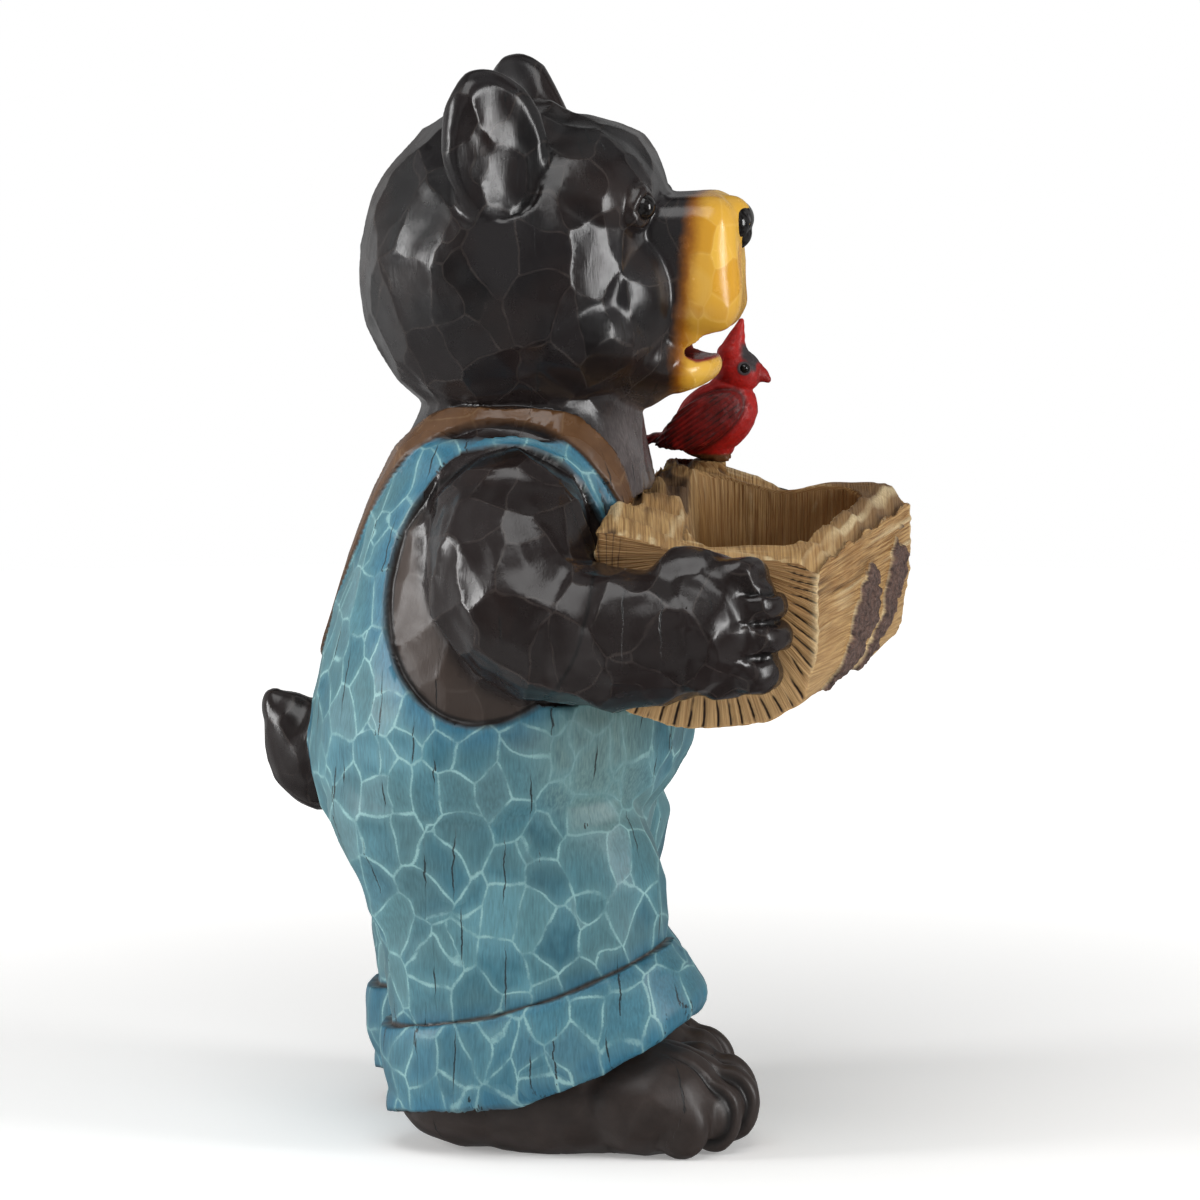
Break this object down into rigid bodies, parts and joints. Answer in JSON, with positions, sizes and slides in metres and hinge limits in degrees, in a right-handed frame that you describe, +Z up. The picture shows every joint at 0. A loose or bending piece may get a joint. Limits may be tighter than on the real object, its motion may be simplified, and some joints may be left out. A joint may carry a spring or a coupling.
{
  "type": "bird bath statue",
  "caption": "Standing bear in overalls holding a hollowed log basin across its chest, with a small crested bird perched on the rim.",
  "frame": {"origin": "on the ground under the middle of the whole statue", "axes": "+Z up; the bear faces -Y and its right hand is on the -X side"},
  "size_m": [0.3747, 0.359, 0.603],
  "materials": {
    "bear": "hand-painted resin: black glossy fur, dry-brushed teal overalls",
    "log": "hand-painted resin: tan wood with dark wash in the grain",
    "bird": "hand-painted resin: red feathers with dark streaks"
  },
  "bodies": {
    "root": {"bear": "bear", "log_bowl": "log", "cardinal": "bird"}
  },
  "joints": []
}
